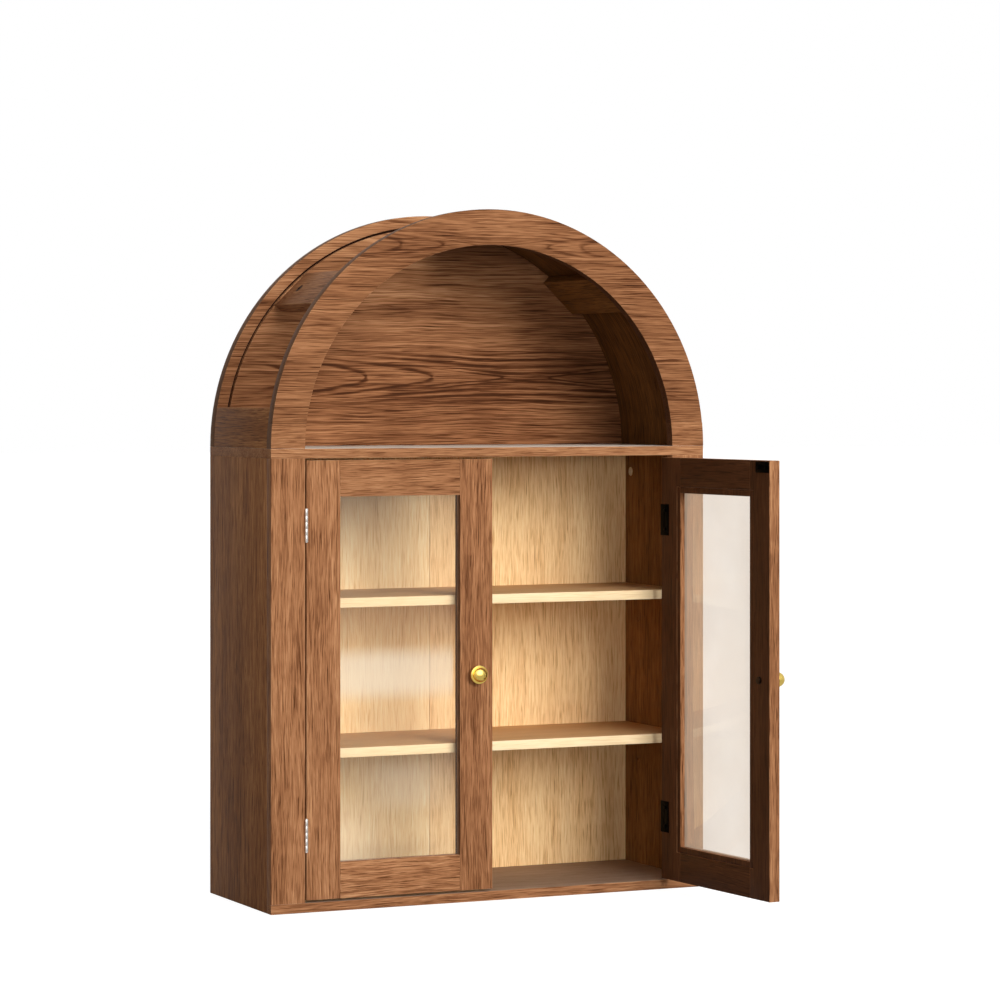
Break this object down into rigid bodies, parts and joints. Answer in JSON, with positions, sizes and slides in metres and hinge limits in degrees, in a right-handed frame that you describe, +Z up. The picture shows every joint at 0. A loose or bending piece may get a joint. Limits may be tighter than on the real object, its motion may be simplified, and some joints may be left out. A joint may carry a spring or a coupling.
{
  "type": "arched display cabinet",
  "caption": "Walnut-veneered display cabinet with an open arched niche above a cupboard with shelves, glazed swing doors, round knobs and keyhole wall hangers.",
  "frame": {"origin": "centre of the base board's underside, where the cabinet stands", "axes": "+X to the right as seen from the front, +Y towards the wall, +Z up; stored with the left door shut and the right door open 94 degrees"},
  "size_m": [0.6, 0.4699, 0.8709],
  "materials": {
    "walnut": "walnut veneer on board, satin lacquer",
    "oak": "light oak foil, matte",
    "glass": "clear float glass",
    "brass": "polished brass",
    "nickel": "nickel plated steel",
    "black_metal": "black lacquered steel",
    "black_plastic": "matte black plastic"
  },
  "bodies": {
    "carcass": {"bottom_board": "walnut", "deck_board": "walnut", "left_side_panel": "walnut", "right_side_panel": "walnut", "left_front_stile": "walnut", "right_front_stile": "walnut", "left_back_panel": "oak", "right_back_panel": "oak", "lower_back_rail": "walnut", "upper_hanging_rail": "walnut", "back_joint_strip": "walnut", "hanger_plates": "nickel", "hanger_screws": "nickel", "lower_shelf": "oak", "upper_shelf": "oak", "shelf_pins": "nickel", "arch_ring": "walnut", "left_ring_foot": "walnut", "right_ring_foot": "walnut", "arch_back_board": "walnut", "left_base_rail": "walnut", "right_base_rail": "walnut", "arch_skin": "walnut", "left_batten": "walnut", "right_batten": "walnut", "left_batten_cam_locks": "nickel", "right_batten_cam_locks": "nickel", "side_cam_locks": "nickel", "magnetic_catches": "black_plastic", "left_lower_frame_leaf": "nickel", "left_upper_frame_leaf": "nickel", "right_lower_frame_leaf": "black_metal", "right_upper_frame_leaf": "black_metal", "hinge_pins": "nickel", "frame_leaf_screws": "nickel"},
    "left_door": {"left_hinge_stile": "walnut", "left_free_stile": "walnut", "left_bottom_rail": "walnut", "left_top_rail": "walnut", "left_glass": "glass", "left_glass_beads": "walnut", "left_knob": "brass", "left_knob_screw": "nickel", "left_strike_plate": "black_metal", "left_door_screws": "nickel", "left_lower_door_leaf": "nickel", "left_upper_door_leaf": "nickel"},
    "right_door": {"right_hinge_stile": "walnut", "right_free_stile": "walnut", "right_bottom_rail": "walnut", "right_top_rail": "walnut", "right_glass": "glass", "right_glass_beads": "walnut", "right_knob": "brass", "right_knob_screw": "nickel", "right_strike_plate": "black_metal", "right_door_screws": "black_metal", "right_lower_door_leaf": "black_metal", "right_upper_door_leaf": "black_metal"}
  },
  "joints": [
    {"name": "left_door_hinge", "type": "hinge", "parent": "carcass", "child": "left_door", "pos_m": [-0.254, -0.1093, 0.28575], "axis": [0, 0, -1], "range_deg": [0, 175]},
    {"name": "right_door_hinge", "type": "hinge", "parent": "carcass", "child": "right_door", "pos_m": [0.254, -0.1093, 0.28575], "axis": [0, 0, 1], "range_deg": [-94, 81]}
  ]
}
